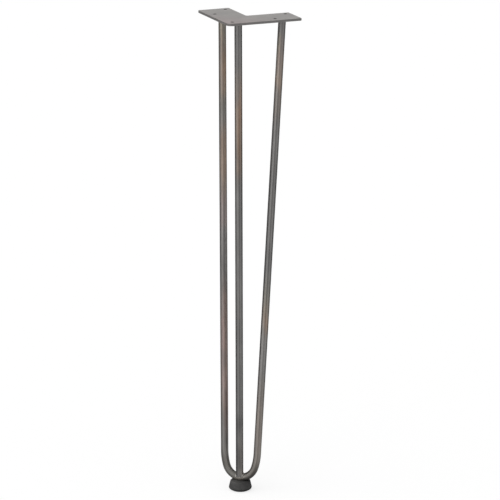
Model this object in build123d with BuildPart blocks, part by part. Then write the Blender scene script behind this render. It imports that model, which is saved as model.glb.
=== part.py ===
from build123d import *
from math import asin, atan2, cos, radians, sin, sqrt, tan
import os

# Three-rod hairpin table leg.
# An L-shaped steel plate screws under the corner of a table top. A long rod bent into a narrow U and a
# straight corner rod are welded to its underside. The corner rod's lower end is coped over the bend and
# welded to it, and a moulded rubber foot carries the bend in a channel across its top.
#
# Frame, in millimetres: the origin lies on the plate's upper face, straight above the foot. +X runs from
# the plate's outer corner towards the middle of the table, +Y across the leg, +Z up. The leg is symmetric
# about the XZ plane, and the plate's arms run at 45 degrees to it.

# Overall size
leg_height = 711.0

# Mounting plate
plate_arm_length = 114.3
plate_arm_width = 48.0
plate_thickness = 3.8
plate_outer_corner_radius = 8.0
plate_inner_corner_radius = 3.0
plate_arm_end_radius = 1.2
plate_edge_break = 0.3

# Screw holes, each set in from the edges that it lies nearest to
screw_hole_diameter = 5.5
corner_hole_inset = 11.0
side_hole_inset = 11.0
end_hole_inset = 8.7

# Rods
rod_diameter = 11.1
bend_radius = 23.5
bend_shoulder_radius = 85.0
bend_shoulder_angle = 73.0
hairpin_end_inset = 17.3
corner_rod_inset = 26.5
corner_rod_offset = 2.6
cope_reach = 3.2

# Welds
plate_weld_leg = 3.0
bend_weld_radius = 1.0

# Foot
foot_inset = 44.0
foot_diameter = 34.0
foot_height = 15.1
foot_flare_angle = 13.5
foot_shoulder_radius = 3.5
foot_contact_inset = 4.5
foot_bevel_angle = 30.0
foot_upper_edge_break = 1.0
foot_channel_depth = 1.3

# Length by which a rod is drawn past its end before the end is cut
end_allowance = 12.0

# Places worked out from the sizes above
rod_radius = rod_diameter / 2
floor_z = -leg_height
plate_underside = Plane.XY.offset(-plate_thickness)
outer_corner_x = -foot_inset
row_y = (plate_arm_length - plate_arm_width) / sqrt(2)


def diagonal_x(from_first_edge, from_second_edge):
    """X of a point given by its distances from the plate's two outer edges."""
    return outer_corner_x + (from_first_edge + from_second_edge) / sqrt(2)


# Each arm has a row of side hole, rod and end hole, parallel to X and ending at the arm's inner corner
side_hole_x = diagonal_x(side_hole_inset, side_hole_inset + plate_arm_length - plate_arm_width)
end_hole_x = diagonal_x(plate_arm_length - end_hole_inset, plate_arm_width - end_hole_inset)
hairpin_top_x = diagonal_x(plate_arm_length - hairpin_end_inset, plate_arm_width - hairpin_end_inset)
corner_hole_x = diagonal_x(corner_hole_inset, corner_hole_inset)
corner_rod_top_x = diagonal_x(corner_rod_inset, corner_rod_inset)

# The bend's lowest point on its centreline, and the plane that the bent rod lies in
bend_bottom = Vector(0, 0, floor_z + foot_height - foot_channel_depth + rod_radius)
hairpin_top_middle = Vector(hairpin_top_x, 0, -plate_thickness)
hairpin_rise = hairpin_top_middle - bend_bottom
hairpin_plane = Plane(origin=bend_bottom, x_dir=(0, 1, 0), z_dir=Vector(0, 1, 0).cross(hairpin_rise))

# The bend is tight at the bottom and eases into two wider shoulders. Each straight run leaves its shoulder
# on a tangent and spreads out towards the plate.
shoulder_turn = radians(bend_shoulder_angle)
bend_end = Vector(bend_radius * sin(shoulder_turn), bend_radius * (1 - cos(shoulder_turn)))
bend_shoulder_centre = bend_end + Vector(-sin(shoulder_turn), cos(shoulder_turn)) * bend_shoulder_radius
run_reach = Vector(row_y, hairpin_rise.length) - bend_shoulder_centre
run_angle = atan2(run_reach.X, run_reach.Y) - asin(bend_shoulder_radius / run_reach.length)
run_direction = Vector(sin(run_angle), cos(run_angle))
tangent_point = bend_shoulder_centre + Vector(cos(run_angle), -sin(run_angle)) * bend_shoulder_radius
run_top = Vector(row_y, hairpin_rise.length) + run_direction * end_allowance

# The corner rod's centreline runs from the plate to a point beside the bend
corner_rod_top = Vector(corner_rod_top_x, 0, -plate_thickness)
corner_rod_bottom = bend_bottom - Vector(corner_rod_offset, 0, 0)
corner_rod_direction = (corner_rod_top - corner_rod_bottom).normalized()
cope_end = Plane.XY.offset(bend_bottom.Z + rod_radius - cope_reach)

# Mounting plate, drawn with its arms along the sketch's own axes
plate_corner_plane = Plane(origin=(outer_corner_x, 0, 0), x_dir=(1, -1, 0), z_dir=(0, 0, 1))
with BuildPart() as mounting_plate:
    with BuildSketch(plate_corner_plane) as plate_outline:
        with BuildLine():
            Polyline(
                (0, 0),
                (plate_arm_length, 0),
                (plate_arm_length, plate_arm_width),
                (plate_arm_width, plate_arm_width),
                (plate_arm_width, plate_arm_length),
                (0, plate_arm_length),
                close=True,
            )
        make_face()
        fillet(plate_outline.vertices().sort_by_distance((0, 0))[-4:], plate_arm_end_radius)
        fillet(plate_outline.vertices().sort_by_distance((0, 0))[0], plate_outer_corner_radius)
        inner_corner = (plate_arm_width, plate_arm_width)
        fillet(plate_outline.vertices().sort_by_distance(inner_corner)[0], plate_inner_corner_radius)
    extrude(amount=-plate_thickness)
    rims = mounting_plate.faces().filter_by(Axis.Z)
    chamfer(rims.edges(), plate_edge_break)
    with Locations((corner_hole_x, 0, 0)):
        Hole(screw_hole_diameter / 2)
    for hole_x in (side_hole_x, end_hole_x):
        with Locations((hole_x, row_y, 0), (hole_x, -row_y, 0)):
            Hole(screw_hole_diameter / 2)

# Hairpin rod: two straight runs and the bend between them, cut level under the plate
with BuildPart() as hairpin_rod:
    with BuildLine(hairpin_plane) as hairpin_line:
        first_run = Line((-run_top.X, run_top.Y), (-tangent_point.X, tangent_point.Y))
        first_shoulder = TangentArc(first_run @ 1, (-bend_end.X, bend_end.Y), tangent=first_run % 1)
        bend = ThreePointArc(first_shoulder @ 1, (0, 0), (bend_end.X, bend_end.Y))
        last_shoulder = TangentArc(bend @ 1, (tangent_point.X, tangent_point.Y), tangent=bend % 1)
        Line(last_shoulder @ 1, (run_top.X, run_top.Y))
    with BuildSketch(Plane(origin=hairpin_line.line @ 0, z_dir=hairpin_line.line % 0)):
        Circle(rod_radius)
    sweep(path=hairpin_line.line)
    split(bisect_by=plate_underside, keep=Keep.BOTTOM)

# Corner rod: cut level under the plate, and coped over the bend at its lower end
with BuildPart() as corner_rod:
    rod_start = corner_rod_bottom - corner_rod_direction * end_allowance
    rod_length = (corner_rod_top - corner_rod_bottom).length + 2 * end_allowance
    with BuildSketch(Plane(origin=rod_start, z_dir=corner_rod_direction)):
        Circle(rod_radius)
    extrude(amount=rod_length)
    split(bisect_by=plate_underside, keep=Keep.BOTTOM)
    split(bisect_by=cope_end, keep=Keep.TOP)
    add(hairpin_rod.part, mode=Mode.SUBTRACT)

# Welds under the plate, one bead round the top of each rod, turned about that rod's own axis
weld_axes = (
    Axis((hairpin_top_x, -row_y, -plate_thickness), -(hairpin_line.line % 0)),
    Axis((hairpin_top_x, row_y, -plate_thickness), hairpin_line.line % 1),
    Axis(corner_rod_top, corner_rod_direction),
)
with BuildPart() as plate_welds:
    for weld_axis in weld_axes:
        rod_section = Plane(origin=weld_axis.position, z_dir=weld_axis.direction)
        with BuildSketch(Plane(rod_section.origin, rod_section.x_dir, -rod_section.y_dir)):
            Polygon(
                (rod_radius, -plate_weld_leg),
                (rod_radius + 2 * plate_weld_leg, plate_weld_leg),
                (rod_radius, plate_weld_leg),
                align=None,
            )
        revolve(axis=weld_axis)
    split(bisect_by=plate_underside, keep=Keep.BOTTOM)

# Weld at the bend, a bead laid along the seam of the cope, with rounded ends at the rod's front
cope_face = corner_rod.faces().filter_by(GeomType.TORUS)[0]
cope_lip = corner_rod.faces().filter_by(Axis.Z).sort_by(Axis.Z)[0]
with BuildPart() as bend_weld:
    with BuildLine() as bead_line:
        add(cope_face.edges() - cope_lip.edges())
    bead_path = bead_line.wires()[0]
    with BuildSketch(Plane(origin=bead_path @ 0, z_dir=bead_path % 0)):
        Circle(bend_weld_radius)
    sweep(path=bead_path)
    with Locations(bead_path @ 0, bead_path @ 1):
        Sphere(bend_weld_radius)
    add(hairpin_rod.part, mode=Mode.SUBTRACT)
    add(corner_rod.part, mode=Mode.SUBTRACT)

# All the weld beads together, as separate solids
with BuildPart() as weld_beads:
    add(plate_welds.part)
    add(bend_weld.part)

# Foot: a flared rubber bumper with a round shoulder, a bevel under it and a channel for the bend
flare = radians(foot_flare_angle)
bevel = radians(foot_bevel_angle)
contact_radius = foot_diameter / 2 - foot_contact_inset
shoulder_x = foot_diameter / 2 - foot_shoulder_radius
shoulder_z = (foot_shoulder_radius + (shoulder_x - contact_radius) * sin(bevel)) / cos(bevel)
shoulder_centre = Vector(shoulder_x, shoulder_z)
bevel_end = shoulder_centre + Vector(sin(bevel), -cos(bevel)) * foot_shoulder_radius
flare_start = shoulder_centre + Vector(cos(flare), sin(flare)) * foot_shoulder_radius
foot_top_radius = flare_start.X - (foot_height - flare_start.Y) * tan(flare)
with BuildPart() as floor_foot:
    with BuildSketch(Plane(origin=(0, 0, floor_z), x_dir=(1, 0, 0), z_dir=(0, -1, 0))) as foot_profile:
        with BuildLine():
            underside = Polyline((0, 0), (contact_radius, 0), bevel_end)
            ThreePointArc(underside @ 1, (foot_diameter / 2, shoulder_z), flare_start)
            Polyline(flare_start, (foot_top_radius, foot_height), (0, foot_height), (0, 0))
        make_face()
        rim = foot_profile.vertices().group_by(Axis.Y)[-1].sort_by(Axis.X)[-1]
        chamfer(rim, foot_upper_edge_break)
    revolve(axis=Axis.Z)
    with BuildSketch(Plane(origin=bend_bottom, z_dir=(0, 1, 0))):
        Circle(rod_radius)
    extrude(amount=foot_diameter, both=True, mode=Mode.SUBTRACT)

os.makedirs("parts", exist_ok=True)
pieces = {
    "mounting_plate": mounting_plate,
    "hairpin_rod": hairpin_rod,
    "corner_rod": corner_rod,
    "weld_beads": weld_beads,
    "floor_foot": floor_foot,
}
for name, piece in pieces.items():
    piece.part.label = name
    export_step(piece.part, f"parts/{name}.step")
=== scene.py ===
"""Looks of a three-rod hairpin table leg: bare satin steel, rippled welds and a moulded rubber foot.

Lengths are metres in the leg's own frame. The origin lies on the plate's upper face above the foot, +X runs
from the plate's outer corner towards the middle of the table, +Y runs across the leg and +Z runs up.
"""

import logging
import math
from dataclasses import dataclass, field
from enum import Enum
from typing import ClassVar, Union

import bpy
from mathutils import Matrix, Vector
from mathutils.bvhtree import BVHTree


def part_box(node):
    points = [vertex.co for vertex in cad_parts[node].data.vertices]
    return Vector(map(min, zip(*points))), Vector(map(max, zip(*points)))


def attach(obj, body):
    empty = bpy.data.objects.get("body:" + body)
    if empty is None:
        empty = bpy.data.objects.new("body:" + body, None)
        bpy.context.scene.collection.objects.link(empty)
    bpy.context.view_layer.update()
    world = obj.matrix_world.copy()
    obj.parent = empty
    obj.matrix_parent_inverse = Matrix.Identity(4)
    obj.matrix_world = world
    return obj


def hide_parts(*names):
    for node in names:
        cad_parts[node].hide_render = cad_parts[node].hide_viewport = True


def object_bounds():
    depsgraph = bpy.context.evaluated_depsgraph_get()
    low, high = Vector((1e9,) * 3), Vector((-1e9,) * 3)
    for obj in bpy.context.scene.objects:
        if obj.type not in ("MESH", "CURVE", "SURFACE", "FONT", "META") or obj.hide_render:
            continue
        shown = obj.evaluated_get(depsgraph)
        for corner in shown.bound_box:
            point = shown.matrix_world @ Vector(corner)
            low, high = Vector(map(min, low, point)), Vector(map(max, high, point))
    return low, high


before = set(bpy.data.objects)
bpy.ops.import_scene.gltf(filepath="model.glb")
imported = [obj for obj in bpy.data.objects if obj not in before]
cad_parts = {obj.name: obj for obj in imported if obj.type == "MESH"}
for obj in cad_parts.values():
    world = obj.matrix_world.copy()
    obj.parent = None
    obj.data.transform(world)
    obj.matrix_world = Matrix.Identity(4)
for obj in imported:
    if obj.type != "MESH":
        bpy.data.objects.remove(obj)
cad_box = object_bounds()

LOG = logging.getLogger("hairpin_leg")
BODY = "root"
UNBENT = "unbent"
MILLIMETRE = 0.001
QUARTER_TURN = math.pi / 2
SHARP_ANGLE = math.radians(40)
LEVEL_TOLERANCE = 1e-6
NOISE_MEAN = 0.5
WHITE = (1.0, 1.0, 1.0)
X_AXIS, Y_AXIS, Z_AXIS = Vector((1.0, 0.0, 0.0)), Vector((0.0, 1.0, 0.0)), Vector((0.0, 0.0, 1.0))

Triple = tuple[float, float, float]
Colour = Triple
Pair = tuple[float, float]
Operand = Union["Field", float, Triple]


def bearing(azimuth: float, elevation: float = 0.0) -> Vector:
    """Gives the direction from the leg towards a bearing.

    Args:
        azimuth: Degrees round the leg, 0 on the -Y side and 90 on the +X side.
        elevation: Degrees above the horizon.

    Returns:
        A unit vector.
    """
    turn, rise = math.radians(azimuth), math.radians(elevation)
    return Vector((math.sin(turn) * math.cos(rise), -math.cos(turn) * math.cos(rise), math.sin(rise)))


class Field:
    """One node output that takes part in Python expressions."""

    def __init__(self, sheet: "NodeSheet", socket: bpy.types.NodeSocket) -> None:
        """Keeps the socket, and the sheet that new nodes go on."""
        self.sheet = sheet
        self.socket = socket

    def output(self, name: str) -> "Field":
        """Gives another output of the same node."""
        return Field(self.sheet, self.socket.node.outputs[name])

    def axis(self, name: str) -> "Field":
        """Gives the X, Y or Z part of a vector."""
        return self.sheet.add("ShaderNodeSeparateXYZ", sockets={"Vector": self}, out=name)

    def towards(self, heading: Vector) -> "Field":
        """Gives how far a vector reaches along a level heading."""
        return self.axis("X") * heading.x + self.axis("Y") * heading.y

    def __add__(self, other: Operand) -> "Field":
        """Adds a value on the right."""
        return self.sheet.maths("ADD", self, other)

    def __radd__(self, other: Operand) -> "Field":
        """Adds this to a value on the left."""
        return self.sheet.maths("ADD", other, self)

    def __sub__(self, other: Operand) -> "Field":
        """Takes a value away."""
        return self.sheet.maths("SUBTRACT", self, other)

    def __rsub__(self, other: Operand) -> "Field":
        """Takes this away from a value on the left."""
        return self.sheet.maths("SUBTRACT", other, self)

    def __mul__(self, other: Operand) -> "Field":
        """Multiplies by a value on the right."""
        return self.sheet.maths("MULTIPLY", self, other)

    def __rmul__(self, other: Operand) -> "Field":
        """Multiplies a value on the left by this."""
        return self.sheet.maths("MULTIPLY", other, self)

    def __truediv__(self, other: Operand) -> "Field":
        """Divides by a value on the right."""
        return self.sheet.maths("DIVIDE", self, other)

    def __rtruediv__(self, other: Operand) -> "Field":
        """Divides a value on the left by this."""
        return self.sheet.maths("DIVIDE", other, self)

    def __neg__(self) -> "Field":
        """Turns the sign round."""
        return self * -1.0

    def __abs__(self) -> "Field":
        """Drops the sign."""
        return self.sheet.maths("ABSOLUTE", self)


class NodeSheet:
    """A node tree, of a material or a shape, that Python expressions fill."""

    def __init__(self, tree: bpy.types.NodeTree) -> None:
        """Keeps the tree and empties it."""
        self.tree = tree
        tree.nodes.clear()

    @classmethod
    def of(cls, owner: bpy.types.Material | bpy.types.World) -> "NodeSheet":
        """Opens the nodes of a material or a world."""
        owner.use_nodes = True
        return cls(owner.node_tree)

    def add(
        self,
        kind: str,
        settings: dict[str, object] | None = None,
        sockets: dict[str | int, object] | None = None,
        out: str | int = 0,
    ) -> Field | None:
        """Adds one node.

        Args:
            kind: The node's type.
            settings: Its properties, set before its sockets. "captures" gives a Capture Attribute node its
                items, as name and type.
            sockets: Values or links for its inputs, by name or index.
            out: The output to give back, by name or index.

        Returns:
            The chosen output, or None for a node that has no outputs.
        """
        node = self.tree.nodes.new(kind)
        for name, value in (settings or {}).items():
            if name == "captures":
                for item, item_type in value.items():
                    node.capture_items.new(item_type, item)
            else:
                setattr(node, name, value)
        for key, value in (sockets or {}).items():
            self._feed(node.inputs[key], value)
        return Field(self, node.outputs[out]) if len(node.outputs) else None

    def maths(self, operation: str, *operands: Operand) -> Field:
        """Adds a Math node, or a Vector Math node where an operand is a vector or a colour.

        Args:
            operation: What the node does.
            operands: Its inputs, in order.

        Returns:
            The result.
        """
        vectors = [o for o in operands if isinstance(o, Field) and o.socket.type in {"VECTOR", "RGBA"}]
        kind = "ShaderNodeVectorMath" if vectors else "ShaderNodeMath"
        return self.add(kind, {"operation": operation}, dict(enumerate(operands)))

    def hypotenuse(self, first: Field, second: Field) -> Field:
        """Gives the length of a vector from its two parts."""
        return self.maths("SQRT", first * first + second * second)

    def mix(self, factor: Operand, first: Operand, second: Operand, blend: str = "MIX") -> Field:
        """Mixes two colours.

        Args:
            factor: How much of the second colour shows.
            first: The colour at factor 0.
            second: The colour at factor 1, or the one that is multiplied in.
            blend: The Mix node's way of blending.

        Returns:
            The mixed colour.
        """
        settings = {"data_type": "RGBA", "blend_type": blend}
        return self.add("ShaderNodeMix", settings, {0: factor, 6: first, 7: second}, out=2)

    def noise(self, place: Operand, detail: float = 2.0, roughness: float = 0.5) -> Field:
        """Gives soft noise from 0 to 1, with features about one unit across."""
        return self.add("ShaderNodeTexNoise", sockets={
            "Vector": place, "Scale": 1.0, "Detail": detail, "Roughness": roughness})

    def ease(self, value: Operand, low: float, high: float, start: float = 0.0) -> Field:
        """Eases from a start to 1 while the input goes from low to high.

        Args:
            value: The input.
            low: Input at which the result leaves its start.
            high: Input at which the result reaches 1.
            start: Result at and before low.

        Returns:
            The eased value.
        """
        settings = {"interpolation_type": "SMOOTHSTEP"}
        limits = {"Value": value, "From Min": low, "From Max": high, "To Min": start, "To Max": 1.0}
        return self.add("ShaderNodeMapRange", settings, limits, out="Result")

    def bump(self, height: Operand, depth: float, below: Operand | None = None) -> Field:
        """Turns a height from 0 to 1 into a normal.

        Args:
            height: The height, as a share of the depth.
            depth: Size of a full step, in metres.
            below: A normal that this one adds to.

        Returns:
            The bumped normal.
        """
        sockets = {"Strength": 1.0, "Distance": depth, "Height": height}
        if below is not None:
            sockets["Normal"] = below
        return self.add("ShaderNodeBump", sockets=sockets)

    def _feed(self, socket: bpy.types.NodeSocket, value: object) -> None:
        """Links a field to a socket, or sets the socket's value.

        Args:
            socket: The socket.
            value: The field or the value.
        """
        if isinstance(value, Field):
            self.tree.links.new(value.socket, socket)
        elif socket.type == "VECTOR" and isinstance(value, (int, float)):
            socket.default_value = (value, value, value)
        elif socket.type == "RGBA":
            socket.default_value = (*value, 1.0)
        else:
            socket.default_value = value


@dataclass(frozen=True)
class Grain:
    """A layer of soft noise on a surface.

    Attributes:
        per_metre: Features per metre along X, Y and Z.
        detail: How many finer layers lie on it.
        roughness: How strong those are.
    """

    per_metre: Triple
    detail: float = 2.0
    roughness: float = 0.5

    def on(self, sheet: NodeSheet, place: Field) -> Field:
        """Lays the noise at a place."""
        return sheet.noise(place * self.per_metre, self.detail, self.roughness)


class TintHue(Enum):
    """Heat tints, painted light, painted shade, rough scale with painted shade, and matt film.

    Each value is what the steel's colour is multiplied by. The pale hue paints light and the dark hue paints
    shade where light falls on the rods; rough scale darkens as painted shade too. Rough scale and matt film
    also dull the steel.
    """

    BROWN = (1.46, 1.14, 0.90)
    RUST = (1.24, 0.90, 0.68)
    PURPLE = (1.36, 1.10, 1.06)
    OLIVE = (1.20, 1.15, 0.98)
    # Painted light: brightens the steel where the rods should catch more light.
    PALE = (1.40, 1.38, 1.36)
    # Painted shade: darkens the steel where shade falls on the rods.
    DARK = (0.64, 0.64, 0.65)
    # Rough scale, which also darkens the steel as painted shade.
    SCALE = (0.60, 0.60, 0.61)
    MATT = (1.0, 1.0, 1.0)


@dataclass(frozen=True)
class TintBand:
    """A soft band on a rod that multiplies its colour: a heat tint, painted light or painted shade.

    Attributes:
        along: Middle of the band, from the rod's first end.
        reach: Length over which it fades to about a third.
        hue: Its tint.
        strength: Share of the tint at the middle.
        facing: Angle round the rod of the side that it lies on, in degrees, or None for a band all round.
    """

    along: float
    reach: float
    hue: TintHue
    strength: float
    facing: float | None = None


@dataclass(frozen=True)
class Finish:
    """A finish that dresses one or more pieces.

    Attributes:
        title: The material's name.
        slot: The part's material slot that it stands for; not used.
    """

    title: str
    slot: str

    def surface(self, sheet: NodeSheet) -> dict[str, Operand]:
        """Gives the values and links of the shader's sockets."""
        raise NotImplementedError

    def material(self) -> bpy.types.Material:
        """Makes the finish as a material.

        Returns:
            The new material.
        """
        material = bpy.data.materials.new(self.title)
        sheet = NodeSheet.of(material)
        shader = sheet.add("ShaderNodeBsdfPrincipled", sockets=self.surface(sheet))
        sheet.add("ShaderNodeOutputMaterial", sockets={"Surface": shader})
        return material


@dataclass(frozen=True)
class RodSteel(Finish):
    """Drawn steel rod: cloudy scale, lines along the rod, and soft bands of heat tint, painted light and
    painted shade.

    Attributes:
        radius: The rod's radius.
        tints: Its bands of heat tint, painted light and painted shade.
        steel: Colour of the cleaner steel.
        dark_scale: Colour of the scale and of the pits.
        cloud: Clouds of scale.
        streaks: Streaks of scale, which also change the gloss.
        streak_share: Share of the streaks in the scale's pattern.
        scale_span: Range of that pattern over which scale gives way to steel.
        streak_matt: How much the streaks change the roughness.
        lines: Drawing lines.
        line_depth: Their depth.
        pits: Pattern of the pits.
        pit_span: Range of that pattern over which a pit sets in.
        pit_depth: Depth of a pit.
        pit_scale: Share of scale in a pit.
        pit_matt: How much rougher a pit is.
        waver: Unevenness of the tints' edges.
        waver_reach: How far it moves an edge along the rod.
        patches: Patchiness of the tints.
        patch_span: Range of that pattern over which a tint grows to its full strength.
        patch_least: Share of a tint outside the patches.
        band_edge: How sharply a band ends.
        facing_span: Range round the rod over which a tint on one side sets in, as a share of the radius.
        dullness: How much rougher dull film is.
        metallic: Share of bare metal.
        roughness: Roughness of plain steel.
    """

    radius: float
    tints: tuple[TintBand, ...]
    steel: Colour = (0.222, 0.216, 0.209)
    dark_scale: Colour = (0.150, 0.147, 0.145)
    cloud: Grain = Grain((90.0, 90.0, 22.0), detail=4.0, roughness=0.6)
    streaks: Grain = Grain((420.0, 420.0, 7.0))
    streak_share: float = 0.55
    scale_span: Pair = (0.36, 0.68)
    streak_matt: float = 0.16
    lines: Grain = Grain((2600.0, 2600.0, 30.0))
    line_depth: float = 0.012 * MILLIMETRE
    pits: Grain = Grain((700.0, 700.0, 420.0), roughness=0.4)
    pit_span: Pair = (0.66, 0.74)
    pit_depth: float = 0.03 * MILLIMETRE
    pit_scale: float = 0.35
    pit_matt: float = 0.1
    waver: Grain = Grain((70.0, 70.0, 14.0))
    waver_reach: float = 0.05
    patches: Grain = Grain((160.0, 160.0, 26.0), detail=3.0)
    patch_span: Pair = (0.25, 0.7)
    patch_least: float = 0.45
    band_edge: float = 4.0
    facing_span: Pair = (-0.3, 0.6)
    dullness: float = 0.4
    metallic: float = 0.85
    roughness: float = 0.27

    def surface(self, sheet: NodeSheet) -> dict[str, Operand]:
        """Gives the values and links of the shader's sockets.

        Args:
            sheet: The material's nodes.

        Returns:
            The values and links, by the sockets' names.
        """
        place = sheet.add("ShaderNodeAttribute", {"attribute_name": UNBENT}, out="Vector")
        streaks = self.streaks.on(sheet, place)
        scale = self.cloud.on(sheet, place) * (1.0 - self.streak_share) + streaks * self.streak_share
        colour = sheet.mix(sheet.ease(scale, *self.scale_span), self.dark_scale, self.steel)
        colour, dull = self._tinted(sheet, place, colour)
        pit = sheet.ease(self.pits.on(sheet, place), *self.pit_span)
        colour = sheet.mix(pit * self.pit_scale, colour, self.dark_scale)
        normal = sheet.bump(self.lines.on(sheet, place), self.line_depth)
        normal = sheet.bump(1.0 - pit, self.pit_depth, below=normal)
        matt = (streaks - NOISE_MEAN) * self.streak_matt + pit * self.pit_matt + dull * self.dullness
        return {
            "Base Color": colour,
            "Metallic": self.metallic,
            "Roughness": self.roughness + matt,
            "Normal": normal,
        }

    def _tinted(self, sheet: NodeSheet, place: Field, colour: Field) -> tuple[Field, Operand]:
        """Lays the bands of heat tint, painted light and painted shade over a colour.

        Args:
            sheet: The material's nodes.
            place: Position on the unbent rod.
            colour: The untinted steel.

        Returns:
            The tinted colour, and the share of dull film on it.
        """
        dull: Operand = 0.0
        waver = self.waver.on(sheet, place) - NOISE_MEAN
        along = place.axis("Z") + waver * self.waver_reach
        patches = sheet.ease(self.patches.on(sheet, place), *self.patch_span, start=self.patch_least)
        for tint in self.tints:
            offset = (along - tint.along) / tint.reach
            band = sheet.maths("EXPONENT", -sheet.maths("POWER", abs(offset), self.band_edge))
            share = band * patches * tint.strength
            if tint.facing is not None:
                turn = math.radians(tint.facing)
                out = place.towards(Vector((math.cos(turn), math.sin(turn)))) / self.radius
                share = share * sheet.ease(out + waver, *self.facing_span)
            # Bands of the pale hue paint light, and bands of the dark and scale hues paint shade, into the
            # steel's colour here.
            colour = sheet.mix(share, colour, tint.hue.value, "MULTIPLY")
            if tint.hue in (TintHue.SCALE, TintHue.MATT):
                dull = share + dull
        return colour, dull


@dataclass(frozen=True)
class PlateSteel(Finish):
    """Hot-rolled plate: cloudy scale, rolling streaks along one arm, painted shade on its side faces and in
    its screw holes.

    Attributes:
        thickness: The plate's thickness.
        holes: Places of the screw holes.
        hole_reach: Distance from a hole's middle within which its wall lies.
        steel: Colour of the cleaner steel.
        dark_scale: Colour of the scale.
        edge: Colour of the painted shade on the side faces.
        hole_shade: Colour of the painted shade on the holes' walls.
        warm: What the colour is multiplied by at the outer corner.
        warm_span: Range along X over which that sets in.
        rolling: Angle of the rolling streaks.
        cloud: Clouds of scale, which also change the gloss.
        streaks: Rolling streaks.
        streak_share: Share of the streaks in the scale's pattern.
        scale_span: Range of that pattern over which scale gives way to steel.
        cloud_matt: How much the clouds change the roughness.
        grain: Fine grain along the streaks.
        grain_depth: Its depth.
        edge_fade: Depth over which the painted shade of a side face sets in.
        side_shade_share: Share of that painted shade on a side face.
        metallic: Share of bare metal.
        roughness: Roughness of plain plate.
    """

    thickness: float
    holes: tuple[Pair, ...]
    hole_reach: float = 0.0032
    steel: Colour = (0.372, 0.359, 0.347)
    dark_scale: Colour = (0.306, 0.296, 0.288)
    edge: Colour = (0.115, 0.112, 0.109)
    hole_shade: Colour = (0.020, 0.020, 0.020)
    warm: Colour = (1.06, 0.970, 0.985)
    warm_span: Pair = (0.03, -0.04)
    rolling: float = math.radians(45)
    cloud: Grain = Grain((38.0, 38.0, 38.0), detail=5.0, roughness=0.6)
    streaks: Grain = Grain((18.0, 420.0, 420.0), detail=3.0)
    streak_share: float = 0.35
    scale_span: Pair = (0.36, 0.68)
    cloud_matt: float = 0.2
    grain: Grain = Grain((240.0, 2400.0, 2400.0))
    grain_depth: float = 0.01 * MILLIMETRE
    edge_fade: float = 0.0004
    side_shade_share: float = 0.85
    metallic: float = 0.2
    roughness: float = 0.5

    def surface(self, sheet: NodeSheet) -> dict[str, Operand]:
        """Gives the values and links of the shader's sockets.

        Args:
            sheet: The material's nodes.

        Returns:
            The values and links, by the sockets' names.
        """
        place = sheet.add("ShaderNodeTexCoord", out="Object")
        turned = {"Vector": place, "Rotation": (0.0, 0.0, self.rolling)}
        rolled = sheet.add("ShaderNodeMapping", sockets=turned)
        cloud, streaks = self.cloud.on(sheet, place), self.streaks.on(sheet, rolled)
        scale = cloud * (1.0 - self.streak_share) + streaks * self.streak_share
        colour = sheet.mix(sheet.ease(scale, *self.scale_span), self.dark_scale, self.steel)
        near_corner = sheet.ease(place.axis("X"), *self.warm_span)
        colour = sheet.mix(near_corner, colour, self.warm, "MULTIPLY")
        depth = -place.axis("Z")
        under, over = (sheet.ease(d, 0.0, self.edge_fade) for d in (depth, self.thickness - depth))
        side = under * over
        # Painted shade: the side faces get a dark colour in place of their shading.
        colour = sheet.mix(side * self.side_shade_share, colour, self.edge)
        for hole_x, hole_y in self.holes:
            off_middle = sheet.hypotenuse(place.axis("X") - hole_x, place.axis("Y") - hole_y)
            wall = side * sheet.maths("LESS_THAN", off_middle, self.hole_reach)
            # Painted shade: the holes' walls are painted near black, as shade inside the holes.
            colour = sheet.mix(wall, colour, self.hole_shade)
        return {
            "Base Color": colour,
            "Metallic": self.metallic,
            "Roughness": self.roughness + (cloud - NOISE_MEAN) * self.cloud_matt,
            "Normal": sheet.bump(self.grain.on(sheet, rolled), self.grain_depth),
        }


@dataclass(frozen=True)
class WeldMetal(Finish):
    """Weld bead with brown heat colours in its valleys, and a painted highlight on its crests towards one
    bearing.

    Attributes:
        highlight_from: Bearing that the painted highlight faces, as the views count it.
        highlight_reach: Distance that way, from the foot's axis, at which the painted highlight is full.
        highlight_fade: Length over which the painted highlight fades out behind that.
        steel: Colour of the crests.
        highlight_colour: Colour of the crests under the painted highlight.
        shade: Colour of the valleys.
        spots: Pattern of crests and valleys.
        spot_span: Range of that pattern over which a valley gives way to a crest.
        spot_matt: How much the pattern changes the roughness.
        spot_depth: Depth of the valleys.
        metallic: Share of bare metal.
        roughness: Roughness of the bead.
    """

    highlight_from: float = -110.0
    highlight_reach: float = 0.0076
    highlight_fade: float = 0.0014
    steel: Colour = (0.33, 0.32, 0.305)
    highlight_colour: Colour = (0.92, 0.89, 0.85)
    shade: Colour = (0.17, 0.155, 0.138)
    spots: Grain = Grain((420.0, 420.0, 420.0), detail=4.0, roughness=0.65)
    spot_span: Pair = (0.35, 0.62)
    spot_matt: float = 0.25
    spot_depth: float = 0.06 * MILLIMETRE
    metallic: float = 0.75
    roughness: float = 0.3

    def surface(self, sheet: NodeSheet) -> dict[str, Operand]:
        """Gives the values and links of the shader's sockets.

        Args:
            sheet: The material's nodes.

        Returns:
            The values and links, by the sockets' names.
        """
        place = sheet.add("ShaderNodeTexCoord", out="Object")
        spots = self.spots.on(sheet, place)
        # Painted highlight: crests on the side towards one bearing are painted bright.
        reach = place.towards(bearing(self.highlight_from))
        highlight_share = sheet.ease(reach, self.highlight_reach - self.highlight_fade, self.highlight_reach)
        crests = sheet.mix(highlight_share, self.steel, self.highlight_colour)
        return {
            "Base Color": sheet.mix(sheet.ease(spots, *self.spot_span), self.shade, crests),
            "Metallic": self.metallic,
            "Roughness": self.roughness + (spots - NOISE_MEAN) * self.spot_matt,
            "Normal": sheet.bump(spots, self.spot_depth),
        }


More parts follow.
